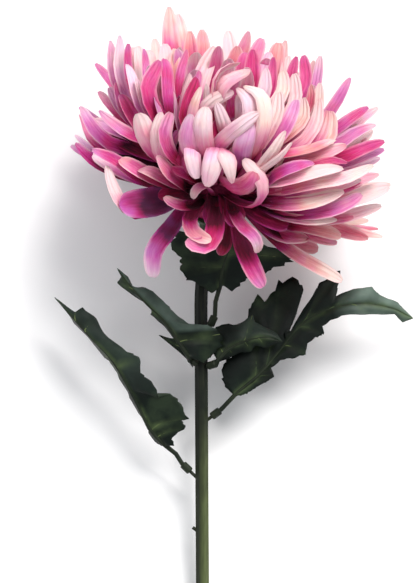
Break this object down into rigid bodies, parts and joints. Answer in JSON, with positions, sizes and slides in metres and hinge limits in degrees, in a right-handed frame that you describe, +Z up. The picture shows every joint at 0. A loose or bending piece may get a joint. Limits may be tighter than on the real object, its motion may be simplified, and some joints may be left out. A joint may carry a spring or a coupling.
{
  "type": "spider chrysanthemum",
  "caption": "Cut fabric chrysanthemum bloom of long channelled petals on a ridged stem with toothed leaves, lying face up.",
  "frame": {"origin": "on the surface the flower lies on, under the middle of its bounding box", "axes": "+Z up from the surface, +Y along the stem from the cut end to the bloom, +X to the right of the bloom's face"},
  "size_m": [0.1724, 0.3218, 0.1139],
  "materials": {
    "stem": "satin ribbed coating",
    "calyx": "satin",
    "petals": "woven fabric, magenta to cream",
    "leaves": "coated fabric with pale veins"
  },
  "bodies": {
    "root": {"stem": "stem", "calyx": "calyx", "bloom": "petals", "leaf_1": "leaves", "leaf_2": "leaves", "leaf_3": "leaves", "leaf_4": "leaves", "leaf_5": "leaves"}
  },
  "joints": []
}
